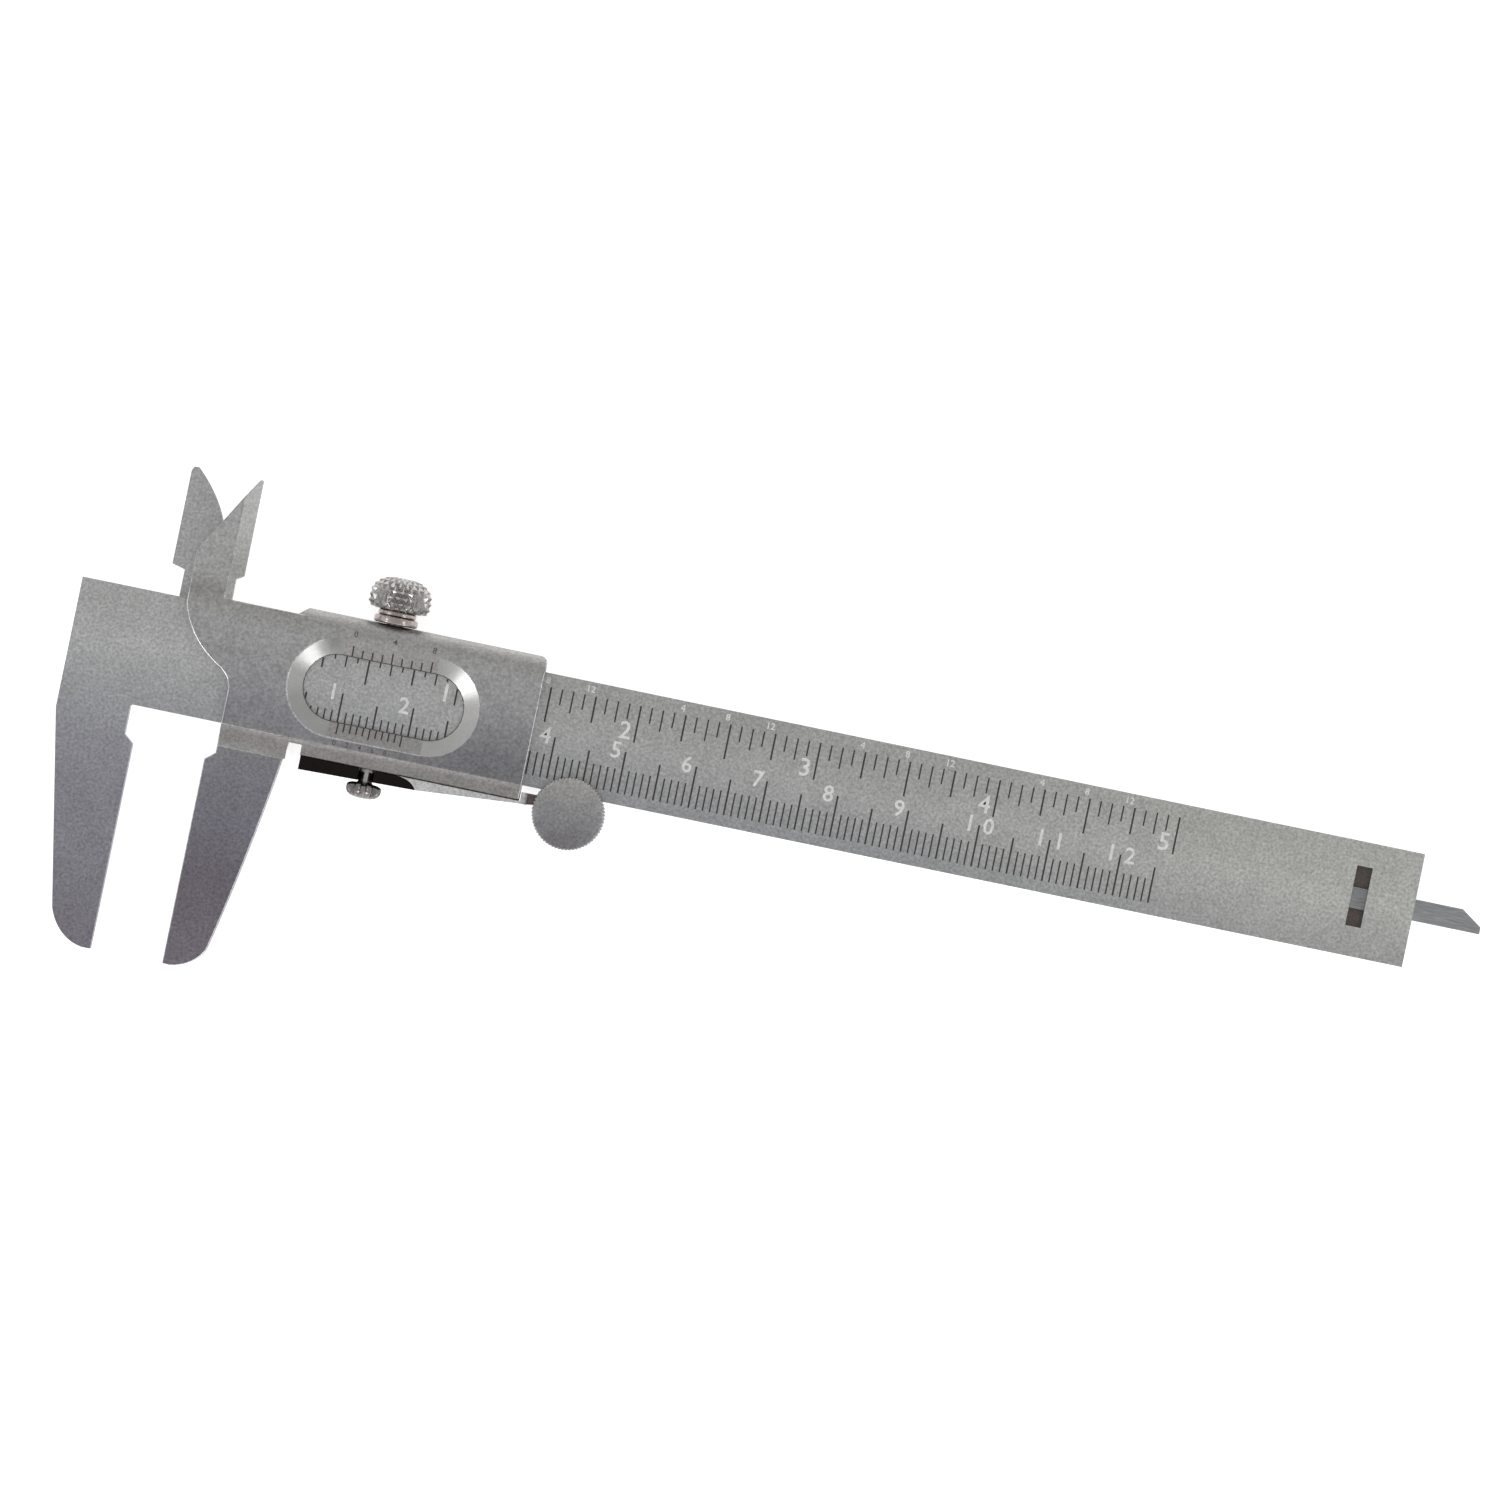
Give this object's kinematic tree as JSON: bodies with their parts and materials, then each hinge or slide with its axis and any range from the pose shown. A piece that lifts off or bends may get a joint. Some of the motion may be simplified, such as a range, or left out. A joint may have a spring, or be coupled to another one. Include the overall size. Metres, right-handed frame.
{
  "type": "vernier caliper",
  "caption": "Steel vernier caliper with outside and inside jaws, depth rod, windowed slider, lock screw and thumb roller, jaws slightly open.",
  "frame": {"origin": "middle of the fixed outside jaw's measuring face, 20 mm below the rule's lower edge, half way through the jaw's thickness", "axes": "+X along the rule toward the depth rod's end, +Y toward the inside jaws, +Z out of the graduated face; the caliper lies on its back"},
  "size_m": [0.1996, 0.0684, 0.0088],
  "materials": {
    "rule_steel": "satin",
    "slider_steel": "satin",
    "rod_steel": "satin",
    "arm_steel": "satin",
    "screw_nickel": "dull nickel plate, knurled",
    "roller_steel": "satin, knurled rim",
    "gib_brass": "plain",
    "pad_black": "black"
  },
  "bodies": {
    "fixed_rule": {"rule": "rule_steel", "rod_keeper": "slider_steel", "keeper_screw_1": "screw_nickel", "keeper_screw_2": "screw_nickel"},
    "slider": {"slider_frame": "slider_steel", "slider_back_plate": "slider_steel", "back_rivet_1": "screw_nickel", "back_rivet_2": "screw_nickel", "back_rivet_3": "screw_nickel", "back_rivet_4": "screw_nickel", "gib_strip": "gib_brass", "gib_screw_1": "screw_nickel", "gib_screw_2": "screw_nickel", "depth_rod": "rod_steel", "depth_rod_rivet": "screw_nickel", "roller_carrier": "arm_steel", "carrier_pad": "pad_black"},
    "lock_screw_body": {"lock_screw": "screw_nickel"},
    "carrier_screw_body": {"carrier_screw": "screw_nickel"},
    "thumb_roller": {"roller_front_disc": "roller_steel", "roller_rear_disc": "roller_steel", "roller_hub": "roller_steel", "roller_axle": "screw_nickel"}
  },
  "joints": [
    {"name": "slider_travel", "type": "slide", "parent": "fixed_rule", "child": "slider", "axis": [1, 0, 0], "range_m": [-0.0102, 0.1148]},
    {"name": "thumb_roller_spin", "type": "hinge", "parent": "slider", "child": "thumb_roller", "pos_m": [0.0611, 0.0174, 0], "axis": [0, 0, 1], "continuous": true},
    {"name": "lock_screw_turn", "type": "hinge", "parent": "slider", "child": "lock_screw_body", "pos_m": [0.0323, 0.04, 0], "axis": [0, 1, 0], "range_deg": [-720, 90]},
    {"name": "carrier_screw_turn", "type": "hinge", "parent": "slider", "child": "carrier_screw_body", "pos_m": [0.0326, 0.015, 0], "axis": [0, 1, 0], "range_deg": [-90, 720]}
  ],
  "couplings": [
    {"joint": "thumb_roller_spin", "follows": "slider_travel", "rad_per_m": 387.6}
  ]
}
